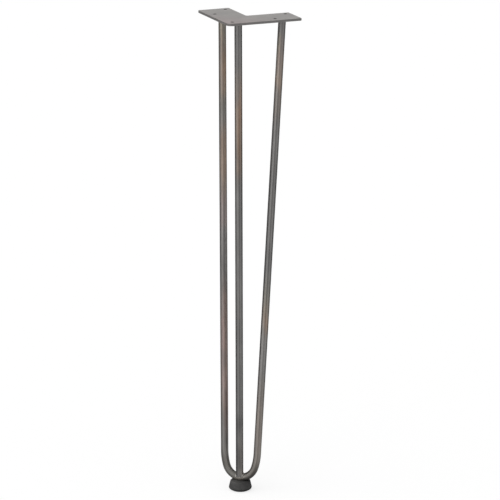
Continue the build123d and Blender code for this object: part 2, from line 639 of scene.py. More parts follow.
@dataclass(frozen=True)
class FootRubber(Finish):
    """Moulded rubber: fine matt grain, a pale bloom, painted light and shade on its upper rim, and painted
    shade round the tread.

    Attributes:
        floor: Height of the floor.
        rubber: Colour of plain rubber.
        bloomed: Colour of the bloom.
        rim_light: Colour of the painted light on the upper rim, towards +Y.
        rim_shade: Colour of the painted shade on the upper rim, towards -Y.
        tread_shade: Colour of the painted shade round the tread.
        bloom: Clouds of bloom, which also change the gloss.
        bloom_span: Range of that pattern over which the bloom sets in.
        bloom_matt: How much it changes the roughness.
        bloom_lift: How much it moves the edges of the painted light and shade up and down.
        tread_shade_height: Height at which the painted shade at the tread begins.
        tread_shade_full: Height at which it is full.
        painted_rim_height: Height at which the rim's painted light and shade begin.
        painted_rim_full: Height at which they are full.
        lit_side: Where the rim's painted light is full, along Y.
        shaded_side: Where the rim's painted shade is full, along Y.
        grain: Fine grain.
        grain_depth: Its depth.
        roughness: Roughness of plain rubber.
        specular: Level of its shine.
    """

    floor: float
    rubber: Colour = (0.037, 0.0365, 0.036)
    bloomed: Colour = (0.052, 0.051, 0.050)
    rim_light: Colour = (0.062, 0.0605, 0.059)
    rim_shade: Colour = (0.029, 0.0285, 0.028)
    tread_shade: Colour = (0.020, 0.020, 0.020)
    bloom: Grain = Grain((130.0, 130.0, 130.0), detail=4.0, roughness=0.6)
    bloom_span: Pair = (0.38, 0.75)
    bloom_matt: float = 0.15
    bloom_lift: float = 0.002
    tread_shade_height: float = 0.0055
    tread_shade_full: float = 0.00275
    painted_rim_height: float = 0.010
    painted_rim_full: float = 0.015
    lit_side: float = 0.008
    shaded_side: float = -0.012
    grain: Grain = Grain((2600.0, 2600.0, 2600.0), detail=3.0)
    grain_depth: float = 0.05 * MILLIMETRE
    roughness: float = 0.72
    specular: float = 0.35

    def surface(self, sheet: NodeSheet) -> dict[str, Operand]:
        """Gives the values and links of the shader's sockets.

        Args:
            sheet: The material's nodes.

        Returns:
            The values and links, by the sockets' names.
        """
        place = sheet.add("ShaderNodeTexCoord", out="Object")
        bloom = self.bloom.on(sheet, place)
        colour = sheet.mix(sheet.ease(bloom, *self.bloom_span), self.rubber, self.bloomed)
        height = place.axis("Z") - self.floor + (bloom - NOISE_MEAN) * self.bloom_lift
        # Painted shade: the rubber gets darker towards the tread, near the floor.
        colour = sheet.mix(sheet.ease(height, self.tread_shade_height, self.tread_shade_full), colour, self.tread_shade)
        # Painted light and shade on the upper rim: lighter towards +Y, darker towards -Y.
        toward_lit_side = sheet.ease(place.axis("Y"), self.shaded_side, self.lit_side)
        rim = sheet.ease(height, self.painted_rim_height, self.painted_rim_full)
        colour = sheet.mix(rim, colour, sheet.mix(toward_lit_side, self.rim_shade, self.rim_light))
        return {
            "Base Color": colour,
            "Roughness": self.roughness + (bloom - NOISE_MEAN) * self.bloom_matt,
            "Specular IOR Level": self.specular,
            "Normal": sheet.bump(self.grain.on(sheet, place), self.grain_depth),
        }


def link_new(name: str, data: bpy.types.ID) -> bpy.types.Object:
    """Puts a new object in the scene, at the origin.

    Args:
        name: The object's name.
        data: Its mesh, lamp or camera.

    Returns:
        The new object.
    """
    made = bpy.data.objects.new(name, data)
    bpy.context.scene.collection.objects.link(made)
    return made


def new_piece(name: str, mesh: bpy.types.Mesh, sharp_angle: float = SHARP_ANGLE) -> bpy.types.Object:
    """Puts a finished mesh in the scene, smooth but for its sharp edges.

    Args:
        name: The object's name.
        mesh: Its mesh, in the leg's frame.
        sharp_angle: Angle past which an edge stays sharp.

    Returns:
        The new object.
    """
    mesh.name = name
    mesh.shade_smooth()
    mesh.set_sharp_from_angle(angle=sharp_angle)
    return link_new(name, mesh)


def seat_piece(piece: bpy.types.Object, finish: Finish, *nodes: str) -> None:
    """Lets a finished piece ride on the leg in place of some nodes.

    Args:
        piece: The finished piece.
        finish: The finish that it wears; not used.
        nodes: The nodes that it stands for.
    """
    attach(piece, BODY)
    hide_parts(*nodes)
    LOG.info("%s: %d faces, for %s", piece.name, len(piece.data.polygons), ", ".join(nodes))


def shaped_mesh(carrier: bpy.types.Object) -> bpy.types.Mesh:
    """Gives an object's shape as its modifiers leave it, as a plain mesh."""
    depsgraph = bpy.context.evaluated_depsgraph_get()
    return bpy.data.meshes.new_from_object(carrier.evaluated_get(depsgraph), depsgraph=depsgraph)


def surface_of(piece: bpy.types.Object) -> BVHTree:
    """Gives a piece's surface for ray casting."""
    corners = [v.co for v in piece.data.vertices]
    return BVHTree.FromPolygons(corners, [p.vertices for p in piece.data.polygons])


def full_turn(count: int, lead: float = 0.0) -> list[float]:
    """Divides a full turn into angles, the first of them some share of a step past zero."""
    return [2 * math.pi * (i + lead) / count for i in range(count)]


def arc_points(centre: Vector, radius: float, start: float, end: float, steps: int) -> list[Vector]:
    """Divides an arc into points.

    Args:
        centre: Its centre, in its own plane.
        radius: Its radius.
        start: Angle of its first point.
        end: Angle of its last point.
        steps: How many steps lie between the two.

    Returns:
        The points, with both ends.
    """
    turns = [start + (end - start) * i / steps for i in range(steps + 1)]
    return [centre + Vector((math.cos(turn), math.sin(turn))) * radius for turn in turns]


def closed_tube(name: str, rings: list[list[Vector]]) -> bpy.types.Mesh:
    """Skins a row of rings and closes it at both ends.

    Args:
        name: The mesh's name.
        rings: The points of each ring, which run anticlockwise as seen from the row's end.

    Returns:
        The mesh, with its faces outwards.
    """
    count, last = len(rings[0]), (len(rings) - 1) * len(rings[0])
    faces = [tuple(range(count))[::-1], tuple(range(last, last + count))]
    for start in range(0, last, count):
        for i in range(count):
            j = (i + 1) % count
            faces.append((start + i, start + j, start + count + j, start + count + i))
    mesh = bpy.data.meshes.new(name)
    mesh.from_pydata([point for ring in rings for point in ring], [], faces)
    return mesh


class RodEnd(Enum):
    """A rod's level top end, by the side of the leg that it lies on along Y."""

    PLUS_Y = 1
    MIDDLE = 0
    MINUS_Y = -1


def end_middle(node: str, end: RodEnd) -> Vector:
    """Finds the middle of a rod's level top end.

    Args:
        node: The rod's node.
        end: Which end, where the rod has two.

    Returns:
        The middle of that end.
    """
    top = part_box(node)[1].z
    level = [v.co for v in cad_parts[node].data.vertices if v.co.z > top - LEVEL_TOLERANCE]
    rim = [point for point in level if point.y * end.value >= 0]
    xs, ys = [point.x for point in rim], [point.y for point in rim]
    return Vector(((min(xs) + max(xs)) / 2, (min(ys) + max(ys)) / 2, top))


class RuledForm:
    """A shape that Geometry Nodes grow along a path by a rule.

    A subclass names its inputs in INPUTS and lays out its nodes in lay_out. Every tree takes the path as a
    mesh of edges and ends by realizing its instances and setting its material.
    """

    TITLE: ClassVar[str]
    INPUTS: ClassVar[dict[str, str]]

    def __init__(self) -> None:
        """Builds the tree with its named inputs."""
        self.tree = bpy.data.node_groups.new(self.TITLE, "GeometryNodeTree")
        self.identifiers: dict[str, str] = {}
        self._declare("Path", "NodeSocketGeometry")
        for name, kind in (self.INPUTS | {"Material": "NodeSocketMaterial"}).items():
            self._declare(name, kind)
        self.tree.interface.new_socket("Shape", in_out="OUTPUT", socket_type="NodeSocketGeometry")
        sheet = NodeSheet(self.tree)
        given = sheet.add("NodeGroupInput")
        shape = self.lay_out(sheet, given)
        whole = sheet.add("GeometryNodeRealizeInstances", sockets={"Geometry": shape})
        sockets = {"Geometry": whole, "Material": given.output("Material")}
        dressed = sheet.add("GeometryNodeSetMaterial", sockets=sockets)
        sheet.add("NodeGroupOutput", sockets={"Shape": dressed})

    def _declare(self, name: str, kind: str) -> None:
        """Adds one named input and keeps its identifier."""
        socket = self.tree.interface.new_socket(name, in_out="INPUT", socket_type=kind)
        self.identifiers[name] = socket.identifier

    def lay_out(self, sheet: NodeSheet, given: Field) -> Field:
        """Adds the nodes that make the shape, from the group's inputs."""
        raise NotImplementedError

    def grow(
        self, name: str, paths: list[list[Vector]], closed: bool, values: dict[str, object]
    ) -> bpy.types.Object:
        """Grows the shape along some paths.

        Args:
            name: The new piece's name.
            paths: The points of each path.
            closed: Whether each path runs back to its first point.
            values: The tree's inputs, by name.

        Returns:
            The piece, as a plain mesh.
        """
        points: list[Vector] = []
        edges: list[tuple[int, int]] = []
        for path in paths:
            first = len(points)
            points += path
            edges += [(i, i + 1) for i in range(first, len(points) - 1)]
            if closed:
                edges.append((len(points) - 1, first))
        carrier_mesh = bpy.data.meshes.new(f"{name}_path")
        carrier_mesh.from_pydata(points, edges, [])
        carrier = link_new(f"{name}_path", carrier_mesh)
        modifier = carrier.modifiers.new(self.TITLE, "NODES")
        modifier.node_group = self.tree
        for key, value in values.items():
            modifier[self.identifiers[key]] = value
        mesh = shaped_mesh(carrier)
        carrier.modifiers.remove(modifier)
        bpy.data.objects.remove(carrier)
        return new_piece(name, mesh)


class DrawnRod(RuledForm):
    """A round rod along a path, with level ends, the last of which may be coped onto another piece."""

    TITLE = "drawn rod"
    INPUTS = {
        "Radius": "NodeSocketFloat",
        "Sides": "NodeSocketInt",
        "Seat": "NodeSocketObject",
        "Cope Reach": "NodeSocketFloat",
    }

    def lay_out(self, sheet: NodeSheet, given: Field) -> Field:
        """Adds the nodes that make the rod.

        Args:
            sheet: The tree's nodes.
            given: The group's inputs.

        Returns:
            The rod, with its place on the unbent rod stored and no material.
        """
        place = sheet.add("GeometryNodeInputPosition")
        spine = sheet.add(
            "GeometryNodeCaptureAttribute",
            {"captures": {"Centre": "VECTOR", "Heading": "VECTOR", "Along": "FLOAT", "At End": "BOOLEAN"}},
            {
                "Geometry": sheet.add("GeometryNodeMeshToCurve", sockets={"Mesh": given.output("Path")}),
                "Centre": place,
                "Heading": sheet.add("GeometryNodeInputTangent"),
                "Along": sheet.add("GeometryNodeSplineParameter", out="Length"),
                "At End": sheet.add("GeometryNodeCurveEndpointSelection"),
            },
        )
        circle = sheet.add("GeometryNodeCurvePrimitiveCircle", sockets={
            "Resolution": given.output("Sides"), "Radius": given.output("Radius")})
        section = sheet.add("GeometryNodeCaptureAttribute", {"captures": {"Across": "VECTOR"}}, {
            "Geometry": circle, "Across": place})
        bar = sheet.add("GeometryNodeCurveToMesh", sockets={
            "Curve": spine, "Profile Curve": section, "Fill Caps": True})
        heading, at_end = spine.output("Heading"), spine.output("At End")
        to_level = (spine.output("Centre").axis("Z") - place.axis("Z")) / heading.axis("Z")
        level = sheet.add("GeometryNodeSetPosition", sockets={
            "Geometry": bar, "Selection": at_end, "Offset": heading * to_level})
        seat = sheet.add("GeometryNodeObjectInfo", sockets={"Object": given.output("Seat")}, out="Geometry")
        reach = given.output("Cope Reach")
        hit = sheet.add("GeometryNodeRaycast", sockets={
            "Target Geometry": seat,
            "Source Position": place - heading * reach,
            "Ray Direction": heading,
            "Ray Length": reach,
        })
        coped = sheet.add("GeometryNodeSetPosition", sockets={
            "Geometry": level, "Selection": hit * at_end, "Position": hit.output("Hit Position")})
        across = section.output("Across")
        unbent = sheet.add("ShaderNodeCombineXYZ", sockets={
            "X": across.axis("X"), "Y": across.axis("Y"), "Z": spine.output("Along")})
        return sheet.add(
            "GeometryNodeStoreNamedAttribute",
            {"data_type": "FLOAT_VECTOR", "domain": "POINT"},
            {"Geometry": coped, "Name": UNBENT, "Value": unbent},
        )


class WeldBead(RuledForm):
    """A weld bead along a path: overlapping ripples with uneven lumps, rounded off at its ends.

    Attributes:
        STEPS_PER_RIPPLE: Rings on each ripple.
        LUMPS_PER_METRE: How close the lumps lie.
        WANDER: How far the lumps shift the ripples, as an angle.
        RIPPLE_SINK: Share of a ripple's height by which its valleys lie under the plain bead.
        NO_LENGTH: A length as good as none, so that nothing is divided by zero.
    """

    TITLE = "weld bead"
    INPUTS = {
        "Radius": "NodeSocketFloat",
        "Sides": "NodeSocketInt",
        "Ripple Pitch": "NodeSocketFloat",
        "Ripple Height": "NodeSocketFloat",
        "Lump Height": "NodeSocketFloat",
        "End Length": "NodeSocketFloat",
        "Seed": "NodeSocketFloat",
    }
    STEPS_PER_RIPPLE: ClassVar[int] = 10
    LUMPS_PER_METRE: ClassVar[float] = 260.0
    WANDER: ClassVar[float] = 2.2
    RIPPLE_SINK: ClassVar[float] = 0.6
    NO_LENGTH: ClassVar[float] = 1e-6

    def lay_out(self, sheet: NodeSheet, given: Field) -> Field:
        """Adds the nodes that make the bead.

        Args:
            sheet: The tree's nodes.
            given: The group's inputs.

        Returns:
            The bead, with no material.
        """
        pitch = given.output("Ripple Pitch")
        path = sheet.add("GeometryNodeMeshToCurve", sockets={"Mesh": given.output("Path")})
        dense = sheet.add("GeometryNodeResampleCurve", {"mode": "LENGTH"}, {
            "Curve": path, "Length": pitch / self.STEPS_PER_RIPPLE})
        length = sheet.add("GeometryNodeSplineParameter", out="Length")
        spine = sheet.add("GeometryNodeCaptureAttribute", {"captures": {"Along": "FLOAT"}}, {
            "Geometry": dense, "Along": length})
        from_end = sheet.maths("MINIMUM", length, sheet.add("GeometryNodeSplineLength") - length)
        into_bead = (from_end + self.NO_LENGTH) / (given.output("End Length") + self.NO_LENGTH)
        to_full = 1.0 - sheet.maths("MINIMUM", into_bead, 1.0)
        rounding = sheet.maths("SQRT", 1.0 - to_full * to_full)
        section = sheet.add("GeometryNodeCurvePrimitiveCircle", sockets={
            "Resolution": given.output("Sides"), "Radius": given.output("Radius")})
        bead = sheet.add("GeometryNodeCurveToMesh", sockets={
            "Curve": spine, "Profile Curve": section, "Scale": rounding, "Fill Caps": True})
        place = sheet.add("GeometryNodeInputPosition")
        lump = sheet.noise(place * self.LUMPS_PER_METRE + given.output("Seed")) - NOISE_MEAN
        wave = sheet.maths("SINE", spine.output("Along") * math.pi / pitch + lump * self.WANDER)
        ripple = abs(wave) - self.RIPPLE_SINK
        rise = ripple * given.output("Ripple Height") + lump * given.output("Lump Height")
        return sheet.add("GeometryNodeSetPosition", sockets={
            "Geometry": bead, "Offset": sheet.add("GeometryNodeInputNormal") * rise})


@dataclass
class RodSet:
    """The bent rod and the straight corner rod.

    Attributes:
        bend_radius: Radius of the bend's centreline at the bottom.
        shoulder_radius: Radius of the bend's centreline at its two shoulders.
        shoulder_angle: Angle from the bottom at which the shoulders begin.
        channel_depth: How deep the bend lies in the foot's top.
        corner_offset: How far the corner rod's centreline stands out from the bend's, at the bend.
        cope_reach: Height of the ray that finds the seat under the corner rod's end.
        sides: Facets round a rod.
        ring_spacing: Distance between rings on the straight runs.
        bend_spacing: Distance between rings on the bend.
        radius: Radius of both rods.
        bend_bottom: Lowest point of the bend's centreline.
        corner_top: Upper end of the corner rod's centreline.
        corner_heading: Direction of the corner rod, downwards.
        corner_lip: Lower end of the corner rod's centreline, level with its lip on the bend.
    """

    bend_radius: float = 0.0235
    shoulder_radius: float = 0.085
    shoulder_angle: float = math.radians(73)
    channel_depth: float = 0.0013
    corner_offset: float = 0.0026
    cope_reach: float = 0.012
    sides: int = 72
    ring_spacing: float = 0.012
    bend_spacing: float = 0.001
    radius: float = field(init=False)
    bend_bottom: Vector = field(init=False)
    corner_top: Vector = field(init=False)
    corner_heading: Vector = field(init=False)
    corner_lip: Vector = field(init=False)

    def __post_init__(self) -> None:
        """Reads the rods' places from the frame."""
        low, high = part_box("corner_rod")
        self.radius = high.y
        self.bend_bottom = Z_AXIS * (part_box("floor_foot")[1].z - self.channel_depth + self.radius)
        self.corner_top = end_middle("corner_rod", RodEnd.MIDDLE)
        self.corner_heading = (self.bend_bottom - X_AXIS * self.corner_offset - self.corner_top).normalized()
        length = (low.z - self.corner_top.z) / self.corner_heading.z
        self.corner_lip = self.corner_top + self.corner_heading * length

    def straight(self, start: Vector, end: Vector) -> list[Vector]:
        """Divides a straight run into ring places, without its end."""
        steps = math.ceil((end - start).length / self.ring_spacing)
        return [start.lerp(end, i / steps) for i in range(steps)]

    def bend_arc(self, centre: Vector, radius: float, start: float, end: float) -> list[Vector]:
        """Divides an arc of the bend, given by angles from straight below its centre, into ring places."""
        steps = math.ceil(radius * (end - start) / self.bend_spacing)
        return arc_points(centre, radius, start - QUARTER_TURN, end - QUARTER_TURN, steps)

    def hairpin_path(self) -> list[Vector]:
        """Works out the bent rod's centreline.

        Returns:
            Points from the end on +Y, round the bend, to the end on -Y.
        """
        first, last = (end_middle("hairpin_rod", end) for end in (RodEnd.PLUS_Y, RodEnd.MINUS_Y))
        rise = (first + last) / 2 - self.bend_bottom
        up = rise.normalized()
        centre = Vector((0.0, self.bend_radius))
        to_shoulder = Vector((math.sin(self.shoulder_angle), -math.cos(self.shoulder_angle)))
        shoulder_centre = centre + to_shoulder * (self.bend_radius - self.shoulder_radius)
        reach = Vector((first.y, rise.length)) - shoulder_centre
        lean = math.atan2(reach.x, reach.y) - math.asin(self.shoulder_radius / reach.length)
        half = self.bend_arc(centre, self.bend_radius, 0.0, self.shoulder_angle)
        half += self.bend_arc(
            shoulder_centre, self.shoulder_radius, self.shoulder_angle, QUARTER_TURN - lean)[1:]
        bend = [self.bend_bottom + Y_AXIS * p.x + up * p.y for p in reversed(half)]
        bend += [self.bend_bottom - Y_AXIS * p.x + up * p.y for p in half[1:]]
        return self.straight(first, bend[0]) + bend + self.straight(last, bend[-1])[::-1]

    def corner_path(self) -> list[Vector]:
        """Works out the corner rod's centreline, from the plate to its lip on the bend."""
        last_ring = self.corner_lip - self.corner_heading * self.cope_reach
        return self.straight(self.corner_top, last_ring) + [last_ring, self.corner_lip]

    def build(self, hairpin_finish: Finish, corner_finish: Finish) -> bpy.types.Object:
        """Grows and dresses both rods.

        Args:
            hairpin_finish: Finish of the bent rod.
            corner_finish: Finish of the corner rod.

        Returns:
            The bent rod.
        """
        rod = DrawnRod()
        sizes = {"Radius": self.radius, "Sides": self.sides, "Cope Reach": self.cope_reach}
        dressed = sizes | {"Material": hairpin_finish.material()}
        hairpin = rod.grow("drawn_hairpin_rod", [self.hairpin_path()], False, dressed)
        dressed = sizes | {"Material": corner_finish.material(), "Seat": hairpin}
        corner = rod.grow("drawn_corner_rod", [self.corner_path()], False, dressed)
        seat_piece(hairpin, hairpin_finish, "hairpin_rod")
        seat_piece(corner, corner_finish, "corner_rod")
        return hairpin


@dataclass
class WeldSet:
    """The beads under the plate, and the bead along the corner rod's coped end.

    Attributes:
        rods: The rods that the beads lie on.
        plate_bead_radius: Radius of the beads under the plate.
        bend_bead_radius: Radius of the bead on the bend.
        ripple_pitch: Distance between ripples.
        ripple_height: Height of a ripple.
        lump_height: Unevenness of a bead.
        open_front: Half of the angle in front of the corner rod that the bead leaves free.
        sides: Facets round a bead.
        ring_points: Points round a rod's end.
        seed: Seed of the lumps.
    """

    rods: RodSet
    plate_bead_radius: float = 0.0026
    bend_bead_radius: float = 0.0011
    ripple_pitch: float = 0.0014
    ripple_height: float = 0.00028
    lump_height: float = 0.0006
    open_front: float = math.radians(16)
    sides: int = 28
    ring_points: int = 72
    seed: float = 7.0

    def plate_paths(self) -> list[list[Vector]]:
        """Works out a level ring round the top of each rod.

        Returns:
            The rings' points.
        """
        tops = [end_middle("hairpin_rod", end) for end in (RodEnd.PLUS_Y, RodEnd.MINUS_Y)]
        tops.append(end_middle("corner_rod", RodEnd.MIDDLE))
        turns = full_turn(self.ring_points)
        spokes = [Vector((math.cos(turn), math.sin(turn), 0.0)) * self.rods.radius for turn in turns]
        return [[top + spoke for spoke in spokes] for top in tops]

    def seam_path(self, hairpin: bpy.types.Object) -> list[Vector]:
        """Finds the seam of the cope, from rays along the corner rod and, under its lip, from the front.

        Args:
            hairpin: The bent rod.

        Returns:
            The seam, from the front on +Y, round the back, to the front on -Y.
        """
        surface = surface_of(hairpin)
        heading, lip = self.rods.corner_heading, self.rods.corner_lip
        out = -(X_AXIS - heading * heading.x).normalized()
        turn = 2 * math.pi - 2 * self.open_front
        seam = []
        for i in range(self.ring_points + 1):
            angle = self.open_front + turn * i / self.ring_points
            rim = lip + (out * math.cos(angle) + Y_AXIS * math.sin(angle)) * self.rods.radius
            hit = surface.ray_cast(rim - heading * self.rods.cope_reach, heading)[0]
            if hit is None or hit.z < lip.z:
                hit = surface.ray_cast(Vector((rim.x - self.rods.radius, rim.y, lip.z)), X_AXIS)[0]
            seam.append(hit)
        return seam

    def build(self, hairpin: bpy.types.Object, finish: Finish) -> None:
        """Grows and dresses the beads.

        Args:
            hairpin: The bent rod, which the seam lies on.
            finish: Finish of the beads.
        """
        bead = WeldBead()
        sizes = {
            "Sides": self.sides,
            "Ripple Pitch": self.ripple_pitch,
            "Ripple Height": self.ripple_height,
            "Lump Height": self.lump_height,
            "Seed": self.seed,
            "Material": finish.material(),
        }
        plate_sizes = sizes | {"Radius": self.plate_bead_radius, "End Length": 0.0}
        plate_beads = bead.grow("rippled_plate_welds", self.plate_paths(), True, plate_sizes)
        bend_sizes = sizes | {"Radius": self.bend_bead_radius, "End Length": self.bend_bead_radius}
        bend_bead = bead.grow("rippled_bend_weld", [self.seam_path(hairpin)], False, bend_sizes)
        for piece in (plate_beads, bend_bead):
            seat_piece(piece, finish, "weld_beads")


@dataclass
class FloorFoot:
    """The moulded rubber foot, turned from its profile, with a channel for the bend across its top.

    Attributes:
        rods: The rods, of which the bend lies in the channel.
        contact_inset: How far the flat tread stops inside the widest part.
        bevel: Angle of the bevel above the tread.
        shoulder_radius: Radius of the widest part's round edge.
        flare: Lean of the wall.
        rim_radius: Radius of the upper rim's edge.
        clearance: Gap between the channel and the rod.
        sharp_angle: Angle past which an edge of the foot stays sharp.
        segments: Facets round the foot, and round the bar that cuts its channel.
        bar_lead: Share of a facet by which the bar is turned, so that none of its corners meets the foot's.
        arc_steps: Steps on each rounded edge.
    """

    rods: RodSet
    contact_inset: float = 0.0045
    bevel: float = math.radians(30)
    shoulder_radius: float = 0.0035
    flare: float = math.radians(13.5)
    rim_radius: float = 0.0012
    clearance: float = 0.00002
    sharp_angle: float = math.radians(25)
    segments: int = 144
    bar_lead: float = 0.5
    arc_steps: int = 10

    def profile(self) -> list[Vector]:
        """Works out half of the foot's section.

        Returns:
            Points of radius and height, from the edge of the tread round to the edge of the flat top.
        """
        low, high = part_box("floor_foot")
        widest, height, edge = high.y, high.z - low.z, self.shoulder_radius
        tread, shoulder_x = widest - self.contact_inset, widest - edge
        shoulder_z = (edge + (shoulder_x - tread) * math.sin(self.bevel)) / math.cos(self.bevel)
        shoulder_centre = Vector((shoulder_x, shoulder_z))
        shoulder = arc_points(shoulder_centre, edge, self.bevel - QUARTER_TURN, self.flare, self.arc_steps)
        wall_top_z = height - self.rim_radius * (1 - math.sin(self.flare))
        wall_top_x = shoulder[-1].x - (wall_top_z - shoulder[-1].y) * math.tan(self.flare)
        rim_centre = Vector((wall_top_x - self.rim_radius * math.cos(self.flare), height - self.rim_radius))
        rim = arc_points(rim_centre, self.rim_radius, self.flare, QUARTER_TURN, self.arc_steps)
        return [Vector((tread, 0.0))] + shoulder + rim

    def turned(self) -> bpy.types.Mesh:
        """Turns the profile round the foot's axis.

        Returns:
            The foot without its channel.
        """
        floor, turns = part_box("floor_foot")[0].z, full_turn(self.segments)
        rings = [
            [Vector((p.x * math.cos(turn), p.x * math.sin(turn), floor + p.y)) for turn in turns]
            for p in self.profile()
        ]
        return closed_tube("turned_foot", rings)

    def channel_bar(self) -> bpy.types.Mesh:
        """Makes the round bar that cuts the channel.

        Returns:
            The bar.
        """
        radius, reach = self.rods.radius + self.clearance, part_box("floor_foot")[1].y * 2
        turns = full_turn(self.segments, self.bar_lead)
        section = [Vector((math.cos(turn) * radius, 0.0, math.sin(turn) * radius)) for turn in turns]
        ends = [self.rods.bend_bottom + Y_AXIS * y for y in (reach, -reach)]
        return closed_tube("channel_bar", [[end + point for point in section] for end in ends])

    def build(self, finish: Finish) -> None:
        """Turns the foot, cuts its channel and dresses it.

        Args:
            finish: Finish of the foot.
        """
        bar = link_new("channel_bar", self.channel_bar())
        blank = link_new("turned_foot", self.turned())
        cut = blank.modifiers.new("channel", "BOOLEAN")
        cut.operation, cut.solver, cut.object = "DIFFERENCE", "EXACT", bar
        mesh = shaped_mesh(blank)
        mesh.materials.clear()
        mesh.materials.append(finish.material())
        bpy.data.objects.remove(blank)
        bpy.data.objects.remove(bar)
        seat_piece(new_piece("moulded_foot", mesh, self.sharp_angle), finish, "floor_foot")


@dataclass
class MountingPlate:
    """The screw plate, which keeps its solid and gets its finish.

    Attributes:
        node: The plate's node.
        corner_hole: Where the hole near the outer corner lies, along X.
        arm_holes: Where the two holes of each arm lie, along X.
        hole_row: How far the arms' holes lie from the middle, across the leg.
    """

    node: str = "mounting_plate"
    corner_hole: float = -0.02844
    arm_holes: Pair = (0.01844, 0.05846)
    hole_row: float = 0.04688

    def holes(self) -> tuple[Pair, ...]:
        """Lists the places of the screw holes."""
        pairs = [(x, side * self.hole_row) for x in self.arm_holes for side in (1, -1)]
        return ((self.corner_hole, 0.0), *pairs)

    def thickness(self) -> float:
        """Measures the plate's thickness."""
        low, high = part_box(self.node)
        return high.z - low.z

    def build(self, finish: Finish) -> None:
        """Dresses the plate.

        Args:
            finish: Finish of the plate.
        """
        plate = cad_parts[self.node]
        plate.material_slots[0].material = finish.material()
        LOG.info("%s: %d faces, dressed", self.node, len(plate.data.polygons))


class LampRole(Enum):
    """What a soft light does for the picture."""

    KEY = "key_light"
    LEFT = "left_light"
    RIGHT = "right_light"
    TOP = "top_light"


@dataclass(frozen=True)
class SoftLight:
    """A wide, far soft box, as even on the floor as on the leg.

    Attributes:
        role: What it does.
        azimuth: Its bearing round the leg, as the views count it.
        elevation: Its height above the horizon.
        spread: Its width, as an angle seen from the leg.
        level: What a white sheet that faces it reflects.
    """

    role: LampRole
    azimuth: float
    elevation: float
    spread: float
    level: float

    def on_floor(self) -> float:
        """Gives what a white floor reflects of it."""
        return self.level * math.sin(math.radians(self.elevation))

    def build(self) -> None:
        """Hangs the light."""
        lamp = bpy.data.lights.new(self.role.value, "SUN")
        lamp.angle = math.radians(self.spread)
        lamp.energy = self.level * math.pi
        holder = link_new(self.role.value, lamp)
        holder.rotation_mode = "QUATERNION"
        holder.rotation_quaternion = bearing(self.azimuth, self.elevation).to_track_quat("Z", "Y")


class CardSide(Enum):
    """The camera's side that a card stands on."""

    LEFT = -1
    RIGHT = 1


@dataclass(frozen=True)
class DarkCard:
    """A dark card beside the leg, which only mirror rays see, so that round steel gets a dark edge.

    Attributes:
        side: The camera's side that it stands on.
        distance: How far it stands from the leg, across the view.
        front: How far it reaches in front of the leg.
        back: How far it reaches behind the leg.
        height: Its height.
        colour: Its colour.
    """

    side: CardSide
    distance: float = 0.42
    front: float = 0.05
    back: float = 1.6
    height: float = 1.1
    colour: Colour = (0.3, 0.3, 0.3)

    def build(self, azimuth: float, floor: float) -> None:
        """Stands the card on the floor.

        Args:
            azimuth: The camera's bearing.
            floor: Height of the floor.
        """
        name = f"dark_card_{self.side.name.lower()}"
        near, right = bearing(azimuth), bearing(azimuth + 90.0)
        beside = right * self.side.value * self.distance + Z_AXIS * floor
        foot = [beside + near * reach for reach in (self.front, -self.back)]
        head = [point + Z_AXIS * self.height for point in reversed(foot)]
        mesh = bpy.data.meshes.new(name)
        mesh.from_pydata(foot + head, [], [(0, 1, 2, 3)])
        material = bpy.data.materials.new(name)
        sheet = NodeSheet.of(material)
        matt = sheet.add("ShaderNodeBsdfDiffuse", sockets={"Color": self.colour})
        sheet.add("ShaderNodeOutputMaterial", sockets={"Surface": matt})
        mesh.materials.append(material)
        card = link_new(name, mesh)
        card.visible_camera = False
        card.visible_diffuse = False
        card.visible_shadow = False
        card.visible_transmission = False


@dataclass(frozen=True)
class DarkSector:
    """A sector of the floor that mirrors show darker, as a dark corner of the room would look.

    Attributes:
        middle: Its bearing from the camera's, in degrees, positive on the camera's right.
        half_width: Half of its angle.
        fade: Angle over which it fades out on each side.
        depth: Share of the floor's light that it takes away.
    """

    middle: float
    half_width: float
    fade: float
    depth: float

    def share(self, sheet: NodeSheet, turn: Field) -> Field:
        """Gives the share of light that it takes away at a bearing."""
        return sheet.ease(abs(turn - self.middle), self.half_width + self.fade, self.half_width) * self.depth


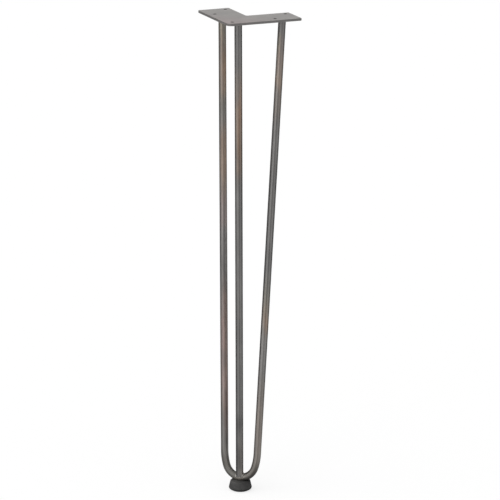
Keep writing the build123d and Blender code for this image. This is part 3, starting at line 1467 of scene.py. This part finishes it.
@dataclass
class Studio:
    """Camera, floor, room light, soft lights and dark cards.

    Attributes:
        image_side: Side of the square picture, in pixels.
        azimuth: The camera's bearing.
        elevation: The camera's height above the horizon.
        distance: The camera's distance.
        pixels_per_metre: The picture's scale at the target.
        target: Point that the scale and the pixel below belong to.
        target_pixel: Where the picture shows the target, from its upper left corner.
        sensor: Width of the camera's sensor, in millimetres.
        floor_reach: Half of the floor's side.
        floor_colour: The floor's own colour, which lights the leg from below.
        floor_shade: Share of the floor's light that its shadows take away where it is seen.
        room_light: Light of the room, from all round.
        side_rise: How much that rises towards the camera's left, and falls towards its right.
        lights: The soft lights.
        cards: The dark cards.
        sectors: The floor's dark sectors.
        contact_reach: Distance from the foot within which mirrors show a darker floor, a painted contact
            shadow.
        contact_depth: Share of the light that is missing there.
    """

    image_side: float = 500.0
    azimuth: float = -67.854
    elevation: float = 14.772
    distance: float = 5.0
    pixels_per_metre: float = 684.1
    target: Vector = field(default_factory=lambda: Vector((0.006, 0.0, -0.3555)))
    target_pixel: Pair = (241.715, 257.2)
    sensor: float = 36.0
    floor_reach: float = 90.0
    floor_colour: Colour = (0.6, 0.6, 0.6)
    floor_shade: float = 0.25
    room_light: float = 0.36
    side_rise: float = 0.30
    lights: tuple[SoftLight, ...] = (
        SoftLight(LampRole.KEY, azimuth=-98.0, elevation=12.0, spread=24.0, level=0.17),
        SoftLight(LampRole.LEFT, azimuth=-155.0, elevation=12.0, spread=60.0, level=0.28),
        SoftLight(LampRole.RIGHT, azimuth=-4.0, elevation=12.0, spread=20.0, level=0.06),
        SoftLight(LampRole.TOP, azimuth=-80.0, elevation=70.0, spread=100.0, level=0.60),
    )
    cards: tuple[DarkCard, ...] = (DarkCard(CardSide.LEFT), DarkCard(CardSide.RIGHT))
    sectors: tuple[DarkSector, ...] = (
        DarkSector(middle=12.0, half_width=10.0, fade=12.0, depth=0.7),
        DarkSector(middle=-135.0, half_width=45.0, fade=20.0, depth=0.75),
        DarkSector(middle=135.0, half_width=45.0, fade=15.0, depth=0.6),
    )
    contact_reach: float = 0.14
    contact_depth: float = 0.7

    def build(self) -> None:
        """Sets up the whole studio."""
        bpy.context.scene.view_settings.view_transform = "Standard"
        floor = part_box("floor_foot")[0].z
        self.place_camera()
        self.lay_floor(floor)
        self.light_room()
        for light in self.lights:
            light.build()
        for card in self.cards:
            card.build(self.azimuth, floor)

    def place_camera(self) -> None:
        """Aims the camera so that the target falls on its pixel."""
        back = bearing(self.azimuth, self.elevation)
        facing = back.to_track_quat("Z", "Y")
        centre = self.image_side / 2
        shift_right = (centre - self.target_pixel[0]) / self.pixels_per_metre
        shift_up = (self.target_pixel[1] - centre) / self.pixels_per_metre
        shift = facing @ X_AXIS * shift_right + facing @ Y_AXIS * shift_up
        camera = bpy.data.cameras.new("camera")
        camera.sensor_width = self.sensor
        camera.lens = self.sensor * self.pixels_per_metre * self.distance / self.image_side
        holder = link_new("camera", camera)
        holder.location = self.target + shift + back * self.distance
        holder.rotation_mode = "QUATERNION"
        holder.rotation_quaternion = facing
        bpy.context.scene.camera = holder

    def floor_light(self) -> float:
        """Gives what a white floor reflects of all the light, away from the leg."""
        return self.room_light + sum(light.on_floor() for light in self.lights)

    def lay_floor(self, level: float) -> None:
        """Lays a pale floor that looks just white round the leg and keeps its shadow.

        Args:
            level: Height of the floor.
        """
        reach = self.floor_reach
        corners = [(x * reach, y * reach, level) for x, y in ((-1, -1), (1, -1), (1, 1), (-1, 1))]
        mesh = bpy.data.meshes.new("floor")
        mesh.from_pydata(corners, [], [(0, 1, 2, 3)])
        material = bpy.data.materials.new("pale_floor")
        material.cycles.emission_sampling = "NONE"
        sheet = NodeSheet.of(material)
        rays = sheet.add("ShaderNodeLightPath", out="Is Camera Ray")
        mirrored = rays.output("Is Glossy Ray")
        seen = sheet.maths("MAXIMUM", rays, mirrored)
        seen = sheet.maths("MAXIMUM", seen, rays.output("Is Transmission Ray"))
        shade = self.floor_shade / self.floor_light()
        colour = sheet.mix(seen, self.floor_colour, (shade, shade, shade))
        matt = sheet.add("ShaderNodeBsdfDiffuse", sockets={"Color": colour})
        unlit = self.mirrored_dark(sheet) * mirrored
        glow = sheet.add("ShaderNodeEmission", sockets={
            "Color": WHITE, "Strength": seen * (1.0 - self.floor_shade) * (1.0 - unlit)})
        whole = sheet.add("ShaderNodeAddShader", sockets={0: matt, 1: glow})
        sheet.add("ShaderNodeOutputMaterial", sockets={"Surface": whole})
        mesh.materials.append(material)
        link_new("floor", mesh)

    def mirrored_dark(self, sheet: NodeSheet) -> Field:
        """Works out how much light mirrors miss at a place on the floor.

        Args:
            sheet: The floor's nodes.

        Returns:
            The missing share, from 0 to 1.
        """
        place = sheet.add("ShaderNodeTexCoord", out="Object")
        ahead = place.towards(bearing(self.azimuth))
        rightward = place.towards(bearing(self.azimuth + 90.0))
        turn = sheet.maths("ARCTAN2", rightward, ahead) * math.degrees(1.0)
        distance = sheet.hypotenuse(ahead, rightward)
        # Painted shadow: near the foot the floor that mirrors see is darker.
        lit = 1.0 - sheet.ease(distance, self.contact_reach, 0.0) * self.contact_depth
        for sector in self.sectors:
            lit = lit * (1.0 - sector.share(sheet, turn))
        return 1.0 - lit

    def light_room(self) -> None:
        """Fills the room with soft light that changes across the view."""
        world = bpy.data.worlds.new("room")
        world.cycles.sampling_method = "NONE"
        sheet = NodeSheet.of(world)
        heading = sheet.add("ShaderNodeTexCoord", out="Generated")
        leftward = heading.towards(bearing(self.azimuth - 90.0))
        strength = self.room_light + leftward * self.side_rise
        light = sheet.add("ShaderNodeBackground", sockets={"Color": WHITE, "Strength": strength})
        sheet.add("ShaderNodeOutputWorld", sockets={"Surface": light})
        bpy.context.scene.world = world


# Tints of the bent rod, from its end on +Y down that run, round the bend at about 0.70 and up the other run.
# An angle counts round the rod's own section. Pale bands are painted light, and dark and scale bands painted
# shade.
HAIRPIN_TINTS = (
    TintBand(0.012, 0.036, TintHue.PALE, 0.8, facing=200),
    TintBand(0.015, 0.022, TintHue.OLIVE, 0.8),
    TintBand(0.075, 0.044, TintHue.BROWN, 0.4),
    TintBand(0.075, 0.042, TintHue.BROWN, 0.8, facing=215),
    TintBand(0.125, 0.040, TintHue.DARK, 0.35, facing=335),
    TintBand(0.130, 0.030, TintHue.OLIVE, 0.3),
    TintBand(0.205, 0.065, TintHue.DARK, 0.3),
    TintBand(0.215, 0.050, TintHue.BROWN, 0.5),
    TintBand(0.215, 0.050, TintHue.BROWN, 0.4, facing=215),
    TintBand(0.280, 0.380, TintHue.MATT, 0.45),
    TintBand(0.290, 0.025, TintHue.PURPLE, 0.6),
    TintBand(0.310, 0.340, TintHue.PALE, 1.0, facing=230),
    TintBand(0.310, 0.400, TintHue.SCALE, 0.3, facing=335),
    TintBand(0.325, 0.040, TintHue.PALE, 0.6, facing=225),
    TintBand(0.335, 0.085, TintHue.DARK, 0.35, facing=345),
    TintBand(0.390, 0.045, TintHue.SCALE, 0.25),
    TintBand(0.480, 0.085, TintHue.RUST, 0.25, facing=200),
    TintBand(0.490, 0.080, TintHue.PURPLE, 1.0),
    TintBand(0.510, 0.060, TintHue.PALE, 0.2),
    TintBand(0.585, 0.025, TintHue.BROWN, 0.15),
    TintBand(0.590, 0.040, TintHue.PURPLE, 0.6, facing=200),
    TintBand(0.615, 0.050, TintHue.DARK, 0.45, facing=335),
    TintBand(0.660, 0.020, TintHue.PALE, 1.6, facing=200),
    TintBand(0.682, 0.026, TintHue.SCALE, 0.8),
    TintBand(0.701, 0.009, TintHue.PALE, 1.0, facing=15),
    TintBand(0.7045, 0.007, TintHue.PALE, 1.0, facing=325),
    TintBand(0.705, 0.050, TintHue.OLIVE, 0.5),
    TintBand(0.711, 0.007, TintHue.DARK, 0.8, facing=210),
    TintBand(0.720, 0.018, TintHue.SCALE, 1.0, facing=26),
    TintBand(0.722, 0.018, TintHue.DARK, 0.6),
    TintBand(0.800, 0.070, TintHue.BROWN, 0.35),
    TintBand(0.880, 0.150, TintHue.PALE, 0.45),
    TintBand(0.945, 0.020, TintHue.RUST, 0.45, facing=20),
    TintBand(0.960, 0.025, TintHue.BROWN, 0.3),
    TintBand(0.990, 0.030, TintHue.OLIVE, 0.5),
    TintBand(1.060, 0.330, TintHue.DARK, 0.35, facing=45),
    TintBand(1.150, 0.110, TintHue.PALE, 0.15),
    TintBand(1.290, 0.035, TintHue.BROWN, 0.3),
    TintBand(1.330, 0.090, TintHue.PALE, 0.6),
    TintBand(1.333, 0.028, TintHue.BROWN, 0.6),
    TintBand(1.360, 0.070, TintHue.MATT, 0.4),
    TintBand(1.360, 0.025, TintHue.PURPLE, 0.4, facing=20),
    TintBand(1.372, 0.015, TintHue.OLIVE, 0.8, facing=230),
    TintBand(1.372, 0.020, TintHue.DARK, 0.4, facing=230),
)
# Tints of the corner rod, from the plate down to the bend; pale bands are painted light and dark bands
# painted shade
CORNER_TINTS = (
    TintBand(0.105, 0.055, TintHue.PALE, 0.5, facing=110),
    TintBand(0.152, 0.075, TintHue.BROWN, 0.6),
    TintBand(0.160, 0.070, TintHue.RUST, 0.6, facing=10),
    TintBand(0.220, 0.340, TintHue.DARK, 0.35, facing=-30),
    TintBand(0.420, 0.160, TintHue.DARK, 0.15),
    TintBand(0.640, 0.110, TintHue.DARK, 1.4, facing=192),
    TintBand(0.640, 0.046, TintHue.DARK, 1.0),
    TintBand(0.660, 0.030, TintHue.OLIVE, 0.2, facing=10),
    TintBand(0.660, 0.038, TintHue.PALE, 1.2, facing=0),
    TintBand(0.670, 0.032, TintHue.DARK, 0.65, facing=138),
    TintBand(0.688, 0.010, TintHue.PALE, 1.0),
)


def main() -> None:
    """Builds and dresses the leg, sets up the studio and logs each piece's face count."""
    logging.basicConfig(level=logging.INFO, format="%(name)s: %(message)s")
    rods = RodSet()
    hairpin = rods.build(
        RodSteel("hairpin_rod_steel", "rod_steel", rods.radius, HAIRPIN_TINTS),
        RodSteel("corner_rod_steel", "rod_steel", rods.radius, CORNER_TINTS),
    )
    WeldSet(rods).build(hairpin, WeldMetal("weld_bead_steel", "weld_metal"))
    FloorFoot(rods).build(FootRubber("foot_rubber", "foot_rubber", floor=cad_box[0].z))
    plate = MountingPlate()
    plate.build(PlateSteel("plate_steel", "plate_steel", plate.thickness(), plate.holes()))
    Studio().build()


if __name__ == "__main__":
    main()
